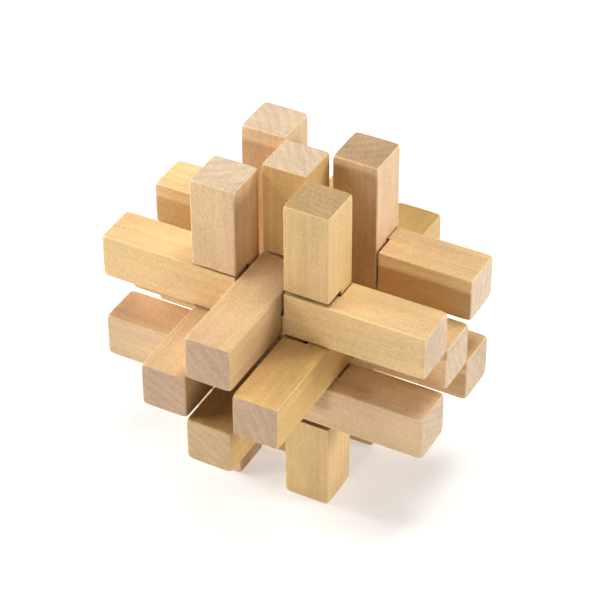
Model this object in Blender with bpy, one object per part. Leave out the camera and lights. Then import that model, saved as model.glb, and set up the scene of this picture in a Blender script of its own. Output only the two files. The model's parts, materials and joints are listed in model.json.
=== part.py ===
"""Fourteen-piece burr puzzle: square notched sticks that lock each other crosswise.

The sticks sit on a lattice of one pitch. Five run along X, four along Y and five along Z. Each has
two outer notches in one side and a middle notch in the side next to it, so that every crossing in
the puzzle is a half-lap joint. Four of the sticks slide together along +X, which opens the puzzle.

The frame stands on the lower ends of the uprights: the origin is at the middle of the base, +Z up.
"""

from typing import NamedTuple

import bmesh
import bpy
from mathutils import Matrix, Vector

# Driving dimensions, in metres.
STICK_WIDTH = 0.01035
STICK_LENGTH = 0.0751
PITCH = 0.01065
EDGE_ROUNDING = 0.0005
EDGE_SEGMENTS = 2

# A notch takes slightly more than half the stick, so two kept halves never quite touch.
NOTCH_DEPTH = STICK_WIDTH / 2 + 0.00035
# Free play between a notch's wall and the stick that lies in it.
INNER_PLAY = 0.0004
OUTER_PLAY = 0.0003
LOOSE_OUTER_PLAY = 0.0008

# Where the walls of the notches are, along the stick from its middle.
HALF_WIDTH = STICK_WIDTH / 2
MIDDLE_WALL = HALF_WIDTH + INNER_PLAY
OUTER_WALL_NEAR = PITCH - HALF_WIDTH - INNER_PLAY
CUTTER_OVERHANG = 0.002

# The puzzle's centre, above the base that the uprights stand on.
CENTRE_HEIGHT = STICK_LENGTH / 2

ROUGHNESS = 0.55
CREAM = (0.80, 0.61, 0.36)
GOLDEN = (0.74, 0.52, 0.28)
PINK = (0.77, 0.55, 0.36)

DIRECTIONS = {
    "+X": Vector((1, 0, 0)),
    "-X": Vector((-1, 0, 0)),
    "+Y": Vector((0, 1, 0)),
    "-Y": Vector((0, -1, 0)),
    "+Z": Vector((0, 0, 1)),
    "-Z": Vector((0, 0, -1)),
}


class Stick(NamedTuple):
    """One stick: its lattice place, the sides its notches keep, and how loosely it lies."""

    name: str
    place: tuple
    outer_keeps: str
    middle_keeps: str
    colour: tuple
    offset: tuple = (0.0, 0.0, 0.0)
    top_trim: float = 0.0
    outer_play: float = OUTER_PLAY


CROSSWISE = (
    Stick("crosswise_stick_front_top", (0, -1, 1), "-Y", "-Z", CREAM, (-0.0001, 0, -0.0002)),
    Stick("crosswise_stick_front_bottom", (0, -1, -1), "-Y", "+Z", PINK, (-0.00015, 0, 0)),
    Stick("crosswise_stick_back_top", (0, 1, 1), "+Y", "-Z", GOLDEN, (0.0001, 0, 0)),
    Stick("crosswise_stick_back_bottom", (0, 1, -1), "+Y", "+Z", CREAM, (-0.00015, 0, 0.0001)),
    Stick("crosswise_stick_centre", (0, 0, 0), "+Z", "+Y", CREAM, (-0.00005, 0, 0.0001)),
)

LENGTHWISE = (
    Stick("lengthwise_stick_top", (0, 0, 1), "+Z", "-X", CREAM, (0, 0.00015, 0)),
    Stick("lengthwise_stick_bottom", (0, 0, -1), "-Z", "-X", GOLDEN, (-0.0002, 0, 0.0001)),
    Stick("lengthwise_stick_left", (-1, 0, 0), "+X", "-Z", GOLDEN, (0.0002, 0.00015, -0.0001)),
    Stick("lengthwise_stick_right", (1, 0, 0), "+X", "-Z", CREAM),
)

UPRIGHT = (
    Stick("upright_stick_front_left", (-1, -1, 0), "+Y", "-X", CREAM, top_trim=0.0006),
    Stick(
        "upright_stick_front_right", (1, -1, 0), "+Y", "-X", CREAM, outer_play=LOOSE_OUTER_PLAY
    ),
    Stick("upright_stick_back_left", (-1, 1, 0), "-Y", "-X", PINK),
    Stick("upright_stick_back_right", (1, 1, 0), "-Y", "-X", PINK, top_trim=0.0009),
    Stick("upright_stick_centre", (0, 0, 0), "+X", "-Y", CREAM, (0, 0, 0.00015)),
)


def clear_scene():
    for thing in list(bpy.data.objects):
        bpy.data.objects.remove(thing, do_unlink=True)


def wood_material(name, colour):
    material = bpy.data.materials.new(name)
    material.use_nodes = True
    shader = material.node_tree.nodes["Principled BSDF"]
    shader.inputs["Base Color"].default_value = (*colour, 1.0)
    shader.inputs["Roughness"].default_value = ROUGHNESS
    shader.inputs["Metallic"].default_value = 0.0
    material.diffuse_color = (*colour, 1.0)
    return material


def box_mesh(name, boxes):
    """A mesh of separate closed boxes, each given by its lowest and highest corner."""
    shape = bmesh.new()
    for low, high in boxes:
        low = Vector(low)
        high = Vector(high)
        size = high - low
        place = Matrix.Translation((low + high) / 2) @ Matrix.Diagonal((*size, 1.0))
        bmesh.ops.create_cube(shape, size=1.0, matrix=place)
    mesh = bpy.data.meshes.new(name)
    shape.to_mesh(mesh)
    shape.free()
    return mesh


def outer_notch_mesh(play):
    """Cuts both outer notches into the -Y side of a stick that lies along X."""
    side = HALF_WIDTH + CUTTER_OVERHANG
    floor = NOTCH_DEPTH - HALF_WIDTH
    far = PITCH + HALF_WIDTH + play
    right = ((OUTER_WALL_NEAR, -side, -side), (far, floor, side))
    left = ((-far, -side, -side), (-OUTER_WALL_NEAR, floor, side))
    return box_mesh("outer_notches", (left, right))


def middle_notch_mesh():
    """Cuts the middle notch into the -Z side of a stick that lies along X."""
    side = HALF_WIDTH + CUTTER_OVERHANG
    floor = NOTCH_DEPTH - HALF_WIDTH
    return box_mesh("middle_notch", (((-MIDDLE_WALL, -side, -side), (MIDDLE_WALL, side, floor)),))


def stick_frame(stick):
    """Turns the stick's own frame into the puzzle's: +Y is what the outer notches keep."""
    kept_outer = DIRECTIONS[stick.outer_keeps]
    kept_middle = DIRECTIONS[stick.middle_keeps]
    along = kept_outer.cross(kept_middle)
    turn = Matrix((along, kept_outer, kept_middle)).transposed().to_4x4()
    centre = Vector((0, 0, CENTRE_HEIGHT)) + PITCH * Vector(stick.place) + Vector(stick.offset)
    return Matrix.Translation(centre) @ turn


def bar_mesh(stick, frame):
    """The plain square bar, before its edges are rounded and its notches are cut."""
    low = -STICK_LENGTH / 2
    high = STICK_LENGTH / 2
    points_up = frame.col[0].z > 0
    if points_up:
        high -= stick.top_trim
    else:
        low += stick.top_trim
    corners = ((low, -HALF_WIDTH, -HALF_WIDTH), (high, HALF_WIDTH, HALF_WIDTH))
    return box_mesh(stick.name, (corners,))


def round_edges(piece):
    bevel = piece.modifiers.new("rounded_edges", "BEVEL")
    bevel.width = EDGE_ROUNDING
    bevel.segments = EDGE_SEGMENTS
    bevel.limit_method = "NONE"


def cut_notches(piece, cutter_mesh):
    cutter = bpy.data.objects.new(f"cutter_{cutter_mesh.name}_{piece.name}", cutter_mesh)
    bpy.context.scene.collection.objects.link(cutter)
    cutter.parent = piece
    cutter.hide_render = True
    cutter.display_type = "WIRE"
    notch = piece.modifiers.new(cutter_mesh.name, "BOOLEAN")
    notch.operation = "DIFFERENCE"
    notch.solver = "EXACT"
    notch.object = cutter


def build_stick(stick, middle_notch):
    frame = stick_frame(stick)
    piece = bpy.data.objects.new(stick.name, bar_mesh(stick, frame))
    bpy.context.scene.collection.objects.link(piece)
    piece.matrix_world = frame
    piece.data.materials.append(wood_material(f"{stick.name}_wood", stick.colour))
    round_edges(piece)
    for cutter_mesh in (outer_notch_mesh(stick.outer_play), middle_notch):
        cut_notches(piece, cutter_mesh)


def main():
    clear_scene()
    middle_notch = middle_notch_mesh()
    for stick in CROSSWISE + LENGTHWISE + UPRIGHT:
        build_stick(stick, middle_notch)


main()
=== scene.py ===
"""Looks of the fourteen-piece burr puzzle: sanded, unfinished pale hardwood on a pale floor.

Every stick is built again at full quality, as a rounded bar with saw-cut notches, and takes its
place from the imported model. The wood is a solid texture in each stick's own frame, so that growth
rings, fibres and pores run through it and come out as end grain on every cross-cut face.
"""

import json
import math
from typing import NamedTuple

import bmesh
import bpy
from mathutils import Matrix, Vector, noise


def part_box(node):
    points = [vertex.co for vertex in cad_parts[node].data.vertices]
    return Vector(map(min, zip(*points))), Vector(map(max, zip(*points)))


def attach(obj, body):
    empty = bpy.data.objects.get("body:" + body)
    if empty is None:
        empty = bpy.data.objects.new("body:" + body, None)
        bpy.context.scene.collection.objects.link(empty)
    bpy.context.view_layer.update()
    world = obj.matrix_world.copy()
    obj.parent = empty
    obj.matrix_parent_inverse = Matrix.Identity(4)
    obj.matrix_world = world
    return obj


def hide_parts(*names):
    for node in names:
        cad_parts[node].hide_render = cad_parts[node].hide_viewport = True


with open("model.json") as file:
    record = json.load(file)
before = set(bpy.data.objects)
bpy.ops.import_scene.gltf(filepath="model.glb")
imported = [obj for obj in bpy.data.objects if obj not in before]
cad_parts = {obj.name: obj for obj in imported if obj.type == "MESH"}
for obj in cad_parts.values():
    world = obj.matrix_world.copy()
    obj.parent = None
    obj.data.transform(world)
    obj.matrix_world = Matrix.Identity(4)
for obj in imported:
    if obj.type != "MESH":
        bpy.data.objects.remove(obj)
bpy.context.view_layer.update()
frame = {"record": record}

MM = 0.001

# Shape of one stick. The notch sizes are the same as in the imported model.
EDGE_ROUNDING = 0.37 * MM
EDGE_SEGMENTS = 4
NOTCH_DEPTH = 5.525 * MM
INNER_PLAY = 0.40 * MM
OUTER_PLAY = 0.30 * MM
LOOSE_OUTER_PLAY = 0.80 * MM
NOTCH_EDGE_ROUNDING = 0.10 * MM
NOTCH_EDGE_SEGMENTS = 2
CUTTER_OVERHANG = 2 * MM

# How finely the faces are divided, how worn the corners are, and how uneven sanding leaves faces.
LENGTHWISE_STEP = 1.5 * MM
END_CUTS = (0.7 * MM, 1.1 * MM)
CROSSWISE_CUTS = (-4.1 * MM, -2.1 * MM, 0.0, 2.1 * MM, 4.1 * MM)
CORNER_REACH = 1.7 * MM
CORNER_WEAR = 0.28 * MM
SLOW_WAVE = 9 * MM
SLOW_WAVE_DEPTH = 0.05 * MM
FINE_WAVE = 1.6 * MM
FINE_WAVE_DEPTH = 0.03 * MM

# Moves the sanding pattern by this much from one stick to the next, in wavelengths.
SANDING_SHIFT = (0.211, 0.137, 0.173)

DIRECTIONS = {
    "+X": Vector((1, 0, 0)),
    "-X": Vector((-1, 0, 0)),
    "+Y": Vector((0, 1, 0)),
    "-Y": Vector((0, -1, 0)),
    "+Z": Vector((0, 0, 1)),
    "-Z": Vector((0, 0, -1)),
}

# Linear colours of the wood: the sides of a stick, and its cross-cut ends.
PALE = (0.80, 0.59, 0.35)
PETAL = (0.78, 0.59, 0.39)
CREAM = (0.75, 0.55, 0.30)
ROSE = (0.72, 0.53, 0.33)
BLUSH = (0.68, 0.50, 0.32)
STRAW = (0.70, 0.51, 0.27)
HONEY = (0.64, 0.44, 0.20)
SAND = (0.60, 0.43, 0.25)
TOFFEE = (0.56, 0.37, 0.17)
LIGHT_END = (0.68, 0.55, 0.42)
PALE_END = (0.63, 0.50, 0.36)
WARM_END = (0.62, 0.49, 0.36)
GOLD_END = (0.60, 0.44, 0.27)
GREY_END = (0.55, 0.40, 0.28)
BROWN_END = (0.47, 0.33, 0.20)
OLIVE_END = (0.48, 0.34, 0.18)

# Changes of tone within a stick, as factors on the colour of its side or end.
YELLOWER = (1.00, 1.015, 0.97)
PINKER = (1.015, 0.99, 1.02)
SIDE_LATE_WOOD = (0.88, 0.80, 0.72)
END_LATE_WOOD = (0.84, 0.77, 0.70)
# The rounded edges painted paler: partly sanding wear, partly a painted highlight where the edges
# catch the light.
WORN_AND_HIGHLIT_PALE = (1.12, 1.18, 1.20)

# How much of those tones the growth rings show, and how much paler the rounded edges are painted:
# partly sanding wear, partly a painted highlight.
SIDE_RINGS = 0.16
END_RINGS = 0.36
EDGE_WEAR_AND_HIGHLIGHT = 0.55

# How far the growth rings wander from true circles, in mm.
RING_WANDER = 3.0

# Moves the wood's pattern by this much from one stick to the next, in mm.
PATTERN_SHIFT = Vector((97.0, 31.0, 53.0))

# The direction of the saw lines on the ends: of a stick 0, and its change to the next, in radians.
SAW_ANGLE = 0.7
SAW_ANGLE_STEP = 1.9

ROUGHNESS = 0.52
SPECULAR = 0.35
RELIEF_STRENGTH = 0.40
RELIEF_DEPTH = 0.08 * MM


class Look(NamedTuple):
    """How one stick lies and what its wood is like. Pith is the tree's centre, in mm across it."""

    outer_keeps: str
    middle_keeps: str
    side: tuple
    end: tuple
    pith: tuple
    ring_gap: float
    outer_play: float = OUTER_PLAY


LOOKS = {
    "crosswise_stick_front_top": Look("-Y", "-Z", CREAM, WARM_END, (26, -31), 2.4),
    "crosswise_stick_front_bottom": Look("-Y", "+Z", BLUSH, WARM_END, (-18, 37), 1.9),
    "crosswise_stick_back_top": Look("+Y", "-Z", CREAM, LIGHT_END, (44, 12), 2.1),
    "crosswise_stick_back_bottom": Look("+Y", "+Z", PALE, WARM_END, (-35, -22), 2.6),
    "crosswise_stick_centre": Look("+Z", "+Y", PALE, WARM_END, (15, 40), 2.2),
    "lengthwise_stick_top": Look("+Z", "-X", SAND, GREY_END, (-28, 33), 2.8),
    "lengthwise_stick_bottom": Look("-Z", "-X", TOFFEE, GOLD_END, (31, 24), 2.0),
    "lengthwise_stick_left": Look("+X", "-Z", SAND, GREY_END, (20, -42), 2.3),
    "lengthwise_stick_right": Look("+X", "-Z", HONEY, GREY_END, (-40, 16), 2.5),
    "upright_stick_front_left": Look("+Y", "-X", ROSE, PALE_END, (38, 29), 2.7),
    "upright_stick_front_right": Look(
        "+Y", "-X", STRAW, OLIVE_END, (47, -9), 1.6, LOOSE_OUTER_PLAY
    ),
    "upright_stick_back_left": Look("-Y", "-X", PETAL, PALE_END, (14, 17), 1.9),
    "upright_stick_back_right": Look("-Y", "-X", ROSE, BROWN_END, (-33, 27), 2.4),
    "upright_stick_centre": Look("+X", "-Y", HONEY, PALE_END, (22, -25), 2.0),
}


# ---------------------------------------------------------------- wood


class Nodes:
    """Adds shader nodes to one material. Each method returns the new node's output."""

    def __init__(self, material):
        material.use_nodes = True
        self.tree = material.node_tree

    def add(self, kind, inputs=None, **settings):
        node = self.tree.nodes.new(kind)
        for name, value in settings.items():
            setattr(node, name, value)
        for key, value in (inputs or {}).items():
            self.feed(node.inputs[key], value)
        return node

    def feed(self, socket, value):
        if isinstance(value, bpy.types.NodeSocket):
            self.tree.links.new(value, socket)
        else:
            socket.default_value = value

    def math(self, operation, first, second=0.0):
        return self.add("ShaderNodeMath", {0: first, 1: second}, operation=operation).outputs[0]

    def vector(self, operation, first, second):
        node = self.add("ShaderNodeVectorMath", {0: first, 1: second}, operation=operation)
        return node.outputs["Value"] if operation == "LENGTH" else node.outputs["Vector"]

    def noise(self, point, stretch, scale, detail=2.0, roughness=0.5):
        """Noise from 0 to 1, with its grains drawn out along an axis where stretch is small."""
        stretched = self.vector("MULTIPLY", point, stretch)
        inputs = {"Vector": stretched, "Scale": scale, "Detail": detail, "Roughness": roughness}
        return self.add("ShaderNodeTexNoise", inputs).outputs["Fac"]

    def band(self, value, low, high, start=0.0, end=1.0):
        """Maps low to high of value smoothly onto start to end, and holds outside them."""
        inputs = {"Value": value, "From Min": low, "From Max": high, "To Min": start, "To Max": end}
        node = self.add("ShaderNodeMapRange", inputs, interpolation_type="SMOOTHSTEP")
        return node.outputs["Result"]

    def mix(self, amount, first, second):
        node = self.add("ShaderNodeMix", data_type="RGBA")
        self.feed(node.inputs[0], amount)
        self.feed(node.inputs[6], first)
        self.feed(node.inputs[7], second)
        return node.outputs[2]

    def brighten(self, colour, gain, saturation=1.0):
        inputs = {"Color": colour, "Value": gain, "Saturation": saturation}
        return self.add("ShaderNodeHueSaturation", inputs).outputs["Color"]

    def weigh(self, *terms):
        """The sum of (value - middle) * weight over the terms, each (value, middle, weight)."""
        total = 0.0
        for value, middle, weight in terms:
            centred = self.math("SUBTRACT", value, middle)
            weighed = self.math("MULTIPLY", centred, weight)
            total = self.math("ADD", weighed, total)
        return total


def rgba(colour, gain=(1.0, 1.0, 1.0)):
    return (*(c * g for c, g in zip(colour, gain)), 1.0)


def growth_rings(nodes, point, grain, look):
    """Rises to 1 on the late wood at the end of each year, on wandering circles round the pith."""
    wander = nodes.noise(grain, (0.02, 0.10, 0.10), 1.0, detail=1.5)
    across = nodes.vector("SUBTRACT", point, (0.0, *look.pith))
    across = nodes.vector("MULTIPLY", across, (0.0, 1.0, 1.0))
    radius = nodes.vector("LENGTH", across, (0.0, 0.0, 0.0))
    radius = nodes.math("ADD", radius, nodes.math("MULTIPLY", wander, RING_WANDER))
    year = nodes.math("FRACT", nodes.math("DIVIDE", radius, look.ring_gap))
    late = nodes.band(year, 0.10, 0.80)
    return nodes.math("SUBTRACT", late, nodes.band(year, 0.84, 1.0))


def facing_masks(nodes, normal):
    """1 where the surface is a cross-cut end, and 1 where it is a rounded edge, which is painted
    paler as wear and as a highlight.
    """
    facing = nodes.add("ShaderNodeSeparateXYZ", {0: normal})
    sizes = [nodes.math("ABSOLUTE", facing.outputs[axis]) for axis in range(3)]
    squareness = nodes.math("MAXIMUM", nodes.math("MAXIMUM", sizes[0], sizes[1]), sizes[2])
    return nodes.band(sizes[0], 0.55, 0.92), nodes.band(squareness, 0.985, 0.80)


class Wood(NamedTuple):
    """The patterns in one stick's wood. Each is a socket from 0 to 1."""

    rings: object
    cloud: object
    tint: object
    streaks: object
    fibres: object
    speckle: object
    pores: object
    flecks: object
    saw_lines: object
    end_grain: object
    # Rounded edges: painted paler, partly as wear and partly as a painted highlight, and made a
    # little smoother.
    highlit_worn_edge: object


def wood_patterns(nodes, look, seed):
    """The stick's own X runs along the grain, and 1 unit is 1 mm."""
    place = nodes.add("ShaderNodeTexCoord")
    point = nodes.vector("MULTIPLY", place.outputs["Object"], (1 / MM, 1 / MM, 1 / MM))
    grain = nodes.vector("ADD", point, PATTERN_SHIFT * seed)
    pore_field = nodes.noise(grain, (0.16, 1.0, 1.0), 5.0, detail=1.0, roughness=0.4)
    saw_frame = nodes.add(
        "ShaderNodeVectorRotate",
        {"Vector": grain, "Angle": SAW_ANGLE + SAW_ANGLE_STEP * seed},
        rotation_type="X_AXIS",
    )
    end_grain, highlit_worn_edge = facing_masks(nodes, place.outputs["Normal"])
    return Wood(
        rings=growth_rings(nodes, point, grain, look),
        cloud=nodes.noise(grain, (0.07, 0.16, 0.16), 1.0),
        tint=nodes.noise(grain, (0.05, 0.15, 0.15), 1.0, detail=1.0),
        streaks=nodes.noise(grain, (0.035, 1.0, 1.0), 0.9),
        fibres=nodes.noise(grain, (0.10, 1.0, 1.0), 2.4, detail=4.0, roughness=0.6),
        speckle=nodes.noise(grain, (0.60, 1.0, 1.0), 2.4, detail=3.0, roughness=0.65),
        pores=nodes.band(pore_field, 0.36, 0.28),
        flecks=nodes.noise(grain, (1.0, 1.0, 1.0), 2.8, detail=3.0, roughness=0.7),
        saw_lines=nodes.noise(saw_frame.outputs[0], (0.5, 0.12, 1.1), 1.3),
        end_grain=end_grain,
        highlit_worn_edge=highlit_worn_edge,
    )


def side_colour(nodes, look, wood):
    drift = nodes.band(wood.tint, 0.35, 0.65)
    tone = nodes.mix(drift, rgba(look.side, YELLOWER), rgba(look.side, PINKER))
    late_wood = rgba(look.side, SIDE_LATE_WOOD)
    tone = nodes.mix(nodes.math("MULTIPLY", wood.rings, SIDE_RINGS), tone, late_wood)
    gain = nodes.weigh(
        (wood.streaks, 0.5, 0.22),
        (wood.fibres, 0.5, 0.19),
        (wood.speckle, 0.5, 0.50),
        (wood.cloud, 0.5, 0.30),
        (wood.pores, 0.0, -0.03),
    )
    return nodes.brighten(tone, nodes.math("ADD", gain, 1.0))


def end_colour(nodes, look, wood):
    late_wood = rgba(look.end, END_LATE_WOOD)
    tone = nodes.mix(nodes.math("MULTIPLY", wood.rings, END_RINGS), rgba(look.end), late_wood)
    gain = nodes.weigh((wood.saw_lines, 0.5, 0.24), (wood.flecks, 0.5, 0.75), (wood.cloud, 0.5, 0.30))
    return nodes.brighten(tone, nodes.math("ADD", gain, 1.0))


def wood_roughness(nodes, wood):
    change = nodes.weigh(
        (wood.fibres, 0.5, 0.25), (wood.end_grain, 0.0, 0.14), (wood.highlit_worn_edge, 0.0, -0.06)
    )
    return nodes.math("ADD", change, ROUGHNESS)


def wood_normal(nodes, wood):
    """Fibres and pores stand a few hundredths of a millimetre proud or sunk."""
    cut_fibres = nodes.math("MULTIPLY", nodes.math("SUBTRACT", wood.flecks, 0.5), wood.end_grain)
    relief = nodes.weigh(
        (wood.fibres, 0.5, 0.6),
        (wood.speckle, 0.5, 0.4),
        (wood.pores, 0.0, -0.2),
        (cut_fibres, 0.0, 0.6),
    )
    inputs = {"Height": relief, "Strength": RELIEF_STRENGTH, "Distance": RELIEF_DEPTH}
    return nodes.add("ShaderNodeBump", inputs).outputs["Normal"]


def wood_material(name, look, seed):
    """Pale diffuse-porous hardwood, solid right through the stick."""
    material = bpy.data.materials.new(name)
    nodes = Nodes(material)
    wood = wood_patterns(nodes, look, seed)
    colour = nodes.mix(
        wood.end_grain, side_colour(nodes, look, wood), end_colour(nodes, look, wood)
    )
    # Painted highlight and wear: the rounded edges are painted paler than the side.
    worn_and_highlit = nodes.math("MULTIPLY", wood.highlit_worn_edge, EDGE_WEAR_AND_HIGHLIGHT)
    colour = nodes.mix(worn_and_highlit, colour, rgba(look.side, WORN_AND_HIGHLIT_PALE))

    shader = nodes.tree.nodes["Principled BSDF"]
    nodes.feed(shader.inputs["Base Color"], colour)
    nodes.feed(shader.inputs["Roughness"], wood_roughness(nodes, wood))
    nodes.feed(shader.inputs["Normal"], wood_normal(nodes, wood))
    shader.inputs["Specular IOR Level"].default_value = SPECULAR
    return material


# ---------------------------------------------------------------- sticks


def new_object(name, mesh):
    thing = bpy.data.objects.new(name, mesh)
    bpy.context.scene.collection.objects.link(thing)
    return thing


def box_mesh(name, boxes):
    """A mesh of separate closed boxes, each given by its lowest and highest corner."""
    shape = bmesh.new()
    for low, high in boxes:
        low = Vector(low)
        high = Vector(high)
        place = Matrix.Translation((low + high) / 2) @ Matrix.Diagonal((*(high - low), 1.0))
        bmesh.ops.create_cube(shape, size=1.0, matrix=place)
    mesh = bpy.data.meshes.new(name)
    shape.to_mesh(mesh)
    shape.free()
    return mesh


def notch_boxes(half_width, pitch, play):
    """What the saw takes away: two outer notches from the -Y side, a middle one from -Z."""
    side = half_width + CUTTER_OVERHANG
    floor = NOTCH_DEPTH - half_width
    near = pitch - half_width - INNER_PLAY
    far = pitch + half_width + play
    middle = half_width + INNER_PLAY
    left = ((-far, -side, -side), (-near, floor, side))
    right = ((near, -side, -side), (far, floor, side))
    centre = ((-middle, -side, -side), (middle, side, floor))
    return (left, right), (centre,)


def evaluated_mesh(thing):
    graph = bpy.context.evaluated_depsgraph_get()
    return bpy.data.meshes.new_from_object(thing.evaluated_get(graph))


def add_bevel(thing, name, width, segments, **settings):
    bevel = thing.modifiers.new(name, "BEVEL")
    bevel.width = width
    bevel.segments = segments
    for key, value in settings.items():
        setattr(bevel, key, value)


def notched_bar(name, low, high, half_width, pitch, play):
    """The stick's clean shape in its own frame: rounded bar, saw cuts, softened cut edges."""
    corners = ((low, -half_width, -half_width), (high, half_width, half_width))
    bar = new_object(name, box_mesh(name, (corners,)))
    add_bevel(bar, "sanded_edges", EDGE_ROUNDING, EDGE_SEGMENTS, limit_method="NONE")
    cutters = []
    for number, boxes in enumerate(notch_boxes(half_width, pitch, play)):
        cutter = new_object(f"{name}_saw_{number}", box_mesh("saw", boxes))
        cut = bar.modifiers.new(cutter.name, "BOOLEAN")
        cut.object = cutter
        cut.solver = "EXACT"
        cutters.append(cutter)
    cut_angle = math.radians(60)
    add_bevel(
        bar,
        "cut_edges",
        NOTCH_EDGE_ROUNDING,
        NOTCH_EDGE_SEGMENTS,
        limit_method="ANGLE",
        angle_limit=cut_angle,
    )
    mesh = evaluated_mesh(bar)
    for helper in (bar, *cutters):
        bpy.data.objects.remove(helper, do_unlink=True)
    return mesh


def divide(shape, low, high):
    """Cuts the faces into cells about 2 mm across, without changing the shape."""
    steps = int((high - low) / LENGTHWISE_STEP)
    along = [low + (high - low) * i / steps for i in range(1, steps)]
    along += [low + inset for inset in END_CUTS] + [high - inset for inset in END_CUTS]
    cuts = [(Vector((x, 0, 0)), Vector((1, 0, 0))) for x in along]
    cuts += [(Vector((0, y, 0)), Vector((0, 1, 0))) for y in CROSSWISE_CUTS]
    cuts += [(Vector((0, 0, z)), Vector((0, 0, 1))) for z in CROSSWISE_CUTS]
    for point, normal in cuts:
        everything = list(shape.verts) + list(shape.edges) + list(shape.faces)
        bmesh.ops.bisect_plane(shape, geom=everything, plane_co=point, plane_no=normal)


def corner_wear(point, low, high, half_width):
    """How far handling has worn the surface down here: most at the stick's eight corners."""
    gaps = (min(point.x - low, high - point.x), half_width - abs(point.y), half_width - abs(point.z))
    nearness = max(0.0, 1.0 - Vector(gaps).length / CORNER_REACH)
    return CORNER_WEAR * nearness * nearness


def sand(shape, low, high, half_width, seed):
    """Sinks the surface unevenly, as hand sanding does, and further where the corners are worn."""
    shape.normal_update()
    shift = Vector([seed * step for step in SANDING_SHIFT])
    normals = [vertex.normal.copy() for vertex in shape.verts]
    for vertex, normal in zip(shape.verts, normals):
        slow = noise.noise((vertex.co / SLOW_WAVE) + shift) * 0.5 + 0.5
        fine = noise.noise((vertex.co / FINE_WAVE) + shift) * 0.5 + 0.5
        depth = slow * SLOW_WAVE_DEPTH + fine * FINE_WAVE_DEPTH
        depth += corner_wear(vertex.co, low, high, half_width)
        vertex.co -= normal * depth


def finished_mesh(name, low, high, half_width, pitch, play, seed):
    clean = notched_bar(name, low, high, half_width, pitch, play)
    shape = bmesh.new()
    shape.from_mesh(clean)
    divide(shape, low, high)
    sand(shape, low, high, half_width, seed)
    mesh = bpy.data.meshes.new(name)
    shape.to_mesh(mesh)
    shape.free()
    mesh.shade_smooth()
    mesh.set_sharp_from_angle(angle=math.radians(40))
    return mesh


def stick_pose(node, look, length):
    """The stick's frame in the puzzle, and how far its ends are from its middle notch."""
    low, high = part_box(node)
    outer = DIRECTIONS[look.outer_keeps]
    middle = DIRECTIONS[look.middle_keeps]
    along = outer.cross(middle)
    axis = max(range(3), key=lambda i: abs(along[i]))
    centre = (low + high) / 2
    centre[axis] = low[axis] + length / 2
    reach = high[axis] - centre[axis]
    ends = (-length / 2, reach) if along[axis] > 0 else (-reach, length / 2)
    turn = Matrix((along, outer, middle)).transposed().to_4x4()
    return Matrix.Translation(centre) @ turn, ends


def build_stick(node, look, seed, sizes, bodies):
    length, width, pitch = sizes
    pose, (low, high) = stick_pose(node, look, length)
    mesh = finished_mesh(f"{node}_wood", low, high, width / 2, pitch, look.outer_play, seed)
    mesh.materials.clear()
    mesh.materials.append(wood_material(f"{node}_wood", look, seed))
    piece = new_object(f"{node}_finished", mesh)
    piece.matrix_world = pose
    flat_faces = piece.modifiers.new("flat_faces", "WEIGHTED_NORMAL")
    flat_faces.keep_sharp = True
    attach(piece, bodies[node])
    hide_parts(node)


def stick_sizes():
    """Length and width of a whole stick, and the pitch between neighbours, from the frame."""
    low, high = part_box("crosswise_stick_centre")
    front_low, front_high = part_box("crosswise_stick_front_top")
    back_low, back_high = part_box("crosswise_stick_back_top")
    pitch = ((back_low + back_high) - (front_low + front_high)).y / 4
    return high.x - low.x, high.y - low.y, pitch


def build_sticks():
    groups = frame["record"]["behaviour"]["bodies"]
    bodies = {node: body for body, members in groups.items() for node in members}
    sizes = stick_sizes()
    for seed, (node, look) in enumerate(LOOKS.items(), start=1):
        build_stick(node, look, seed, sizes, bodies)


# ---------------------------------------------------------------- room

CAMERA_AZIMUTH = 28.245
CAMERA_ELEVATION = 37.79
CAMERA_ROLL = -0.26
CAMERA_DISTANCE = 0.509
CAMERA_LENS = 144.65
CAMERA_AIM = Vector((0.0003, 0.0010, 0.0008))

# The floor glows at less than half strength near the puzzle and fully far away, like a lit sweep.
FLOOR_SIZE = 14.0
FLOOR_COLOUR = (0.60, 0.60, 0.60)
FLOOR_ROUGHNESS = 0.8
FLOOR_GLOW = 0.45
FAR_GLOW = 1.1
GLOW_STARTS = 0.35
GLOW_IS_FULL = 1.1

# Below 1 deepens the shadows, for the contrast of a product picture.
DISPLAY_GAMMA = 0.83


class Lamp(NamedTuple):
    """A square soft light, placed by direction from the puzzle."""

    name: str
    azimuth: float
    elevation: float
    distance: float
    size: float
    watts: float


LAMPS = (
    Lamp("soft_back", 150, 70, 1.2, 0.40, 6),
    Lamp("soft_top", 0, 89.9, 1.2, 0.60, 5),
    Lamp("soft_right", 110, 15, 1.2, 0.45, 9),
    Lamp("soft_left", -90, 15, 1.2, 0.40, 14),
    Lamp("key_front", 0, 15, 1.2, 0.10, 4),
    Lamp("fill_left", -60, 40, 1.2, 0.40, 5),
)


def direction(azimuth, elevation):
    """Unit vector from the puzzle to a viewer or lamp. Azimuth 0 is in front, 90 at +X."""
    turn = math.radians(azimuth)
    rise = math.radians(elevation)
    return Vector((math.sin(turn) * math.cos(rise), -math.cos(turn) * math.cos(rise), math.sin(rise)))


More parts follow.
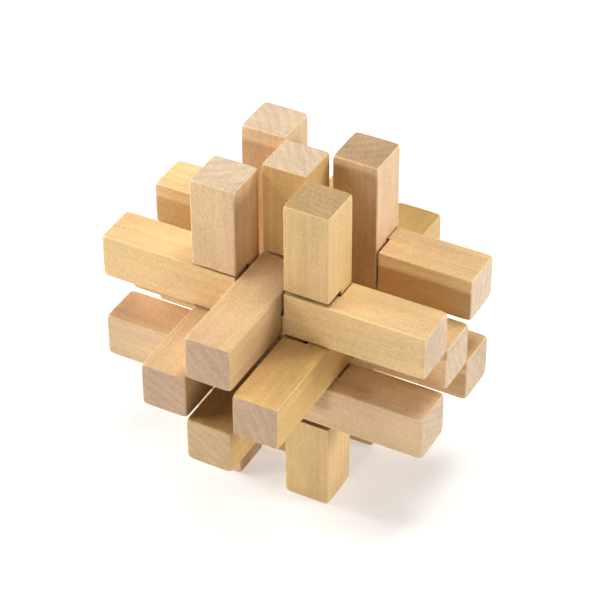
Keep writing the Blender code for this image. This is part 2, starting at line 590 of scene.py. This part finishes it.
def puzzle_centre(sizes):
    return Vector((0.0, 0.0, sizes[0] / 2))


def make_camera(centre):
    lens = bpy.data.cameras.new("camera")
    lens.lens = CAMERA_LENS
    camera = new_object("camera", lens)
    back = direction(CAMERA_AZIMUTH, CAMERA_ELEVATION)
    camera.location = centre + CAMERA_AIM + back * CAMERA_DISTANCE
    roll = Matrix.Rotation(math.radians(CAMERA_ROLL), 3, "Z")
    camera.rotation_euler = ((-back).to_track_quat("-Z", "Y").to_matrix() @ roll).to_euler()
    bpy.context.scene.camera = camera


def make_floor():
    half = FLOOR_SIZE / 2
    corners = [(-half, -half, 0), (half, -half, 0), (half, half, 0), (-half, half, 0)]
    mesh = bpy.data.meshes.new("floor")
    mesh.from_pydata(corners, [], [(0, 1, 2, 3)])
    material = bpy.data.materials.new("floor")
    nodes = Nodes(material)
    place = nodes.add("ShaderNodeTexCoord")
    radius = nodes.vector("LENGTH", place.outputs["Object"], (0.0, 0.0, 0.0))
    glow = nodes.band(radius, GLOW_STARTS, GLOW_IS_FULL, FLOOR_GLOW, FAR_GLOW)
    shader = nodes.tree.nodes["Principled BSDF"]
    shader.inputs["Base Color"].default_value = rgba(FLOOR_COLOUR)
    shader.inputs["Roughness"].default_value = FLOOR_ROUGHNESS
    shader.inputs["Emission Color"].default_value = (1.0, 1.0, 1.0, 1.0)
    nodes.feed(shader.inputs["Emission Strength"], glow)
    mesh.materials.append(material)
    new_object("floor", mesh)


def make_lamp(lamp, centre):
    light = bpy.data.lights.new(lamp.name, "AREA")
    light.energy = lamp.watts
    light.size = lamp.size
    thing = new_object(lamp.name, light)
    towards = direction(lamp.azimuth, lamp.elevation)
    thing.location = centre + towards * lamp.distance
    thing.rotation_euler = towards.to_track_quat("Z", "Y").to_euler()


def build_room():
    centre = puzzle_centre(stick_sizes())
    make_camera(centre)
    make_floor()
    for lamp in LAMPS:
        make_lamp(lamp, centre)
    view = bpy.context.scene.view_settings
    view.view_transform = "Standard"
    view.gamma = DISPLAY_GAMMA


build_room()
build_sticks()
